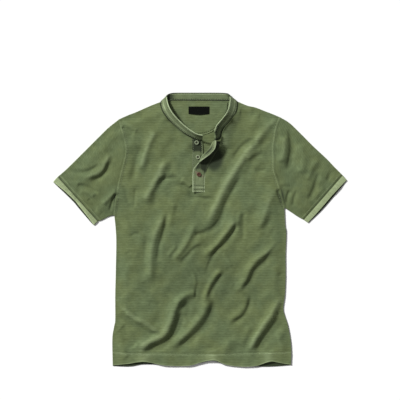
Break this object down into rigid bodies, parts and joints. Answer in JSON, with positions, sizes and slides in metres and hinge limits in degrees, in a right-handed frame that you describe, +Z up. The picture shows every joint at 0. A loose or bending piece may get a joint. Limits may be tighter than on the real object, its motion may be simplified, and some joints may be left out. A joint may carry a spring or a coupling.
{
  "type": "polo shirt",
  "caption": "Short-sleeved polo shirt with a stand collar and an open buttoned placket, laid flat on its back, its panels lying on each other with soft folds.",
  "frame": {"origin": "on the surface the shirt lies on, under the centre of its outline", "axes": "+X towards the wearer's left sleeve, +Y from the hem to the collar, +Z up, out of the front of the shirt"},
  "size_m": [0.8216, 0.7665, 0.036],
  "materials": {
    "pique": "garment-washed cotton pique, matte, fine horizontal ribs",
    "band": "washed cotton twill-faced band, matte, rubbed light along its edges",
    "rib": "flat-knitted cotton rib, matte",
    "label": "blank woven satin label, slight sheen",
    "button": "dark brown four-hole button, satin"
  },
  "bodies": {
    "root": {"front_body": "pique", "back_body": "pique", "right_sleeve": "pique", "left_sleeve": "pique", "right_cuff": "rib", "left_cuff": "rib", "stand_collar": "band", "button_placket": "band", "buttonhole_placket": "band", "button_collar": "button", "button_middle": "button", "button_lower": "button", "back_neck_patch": "pique", "neck_label": "label"}
  },
  "joints": []
}
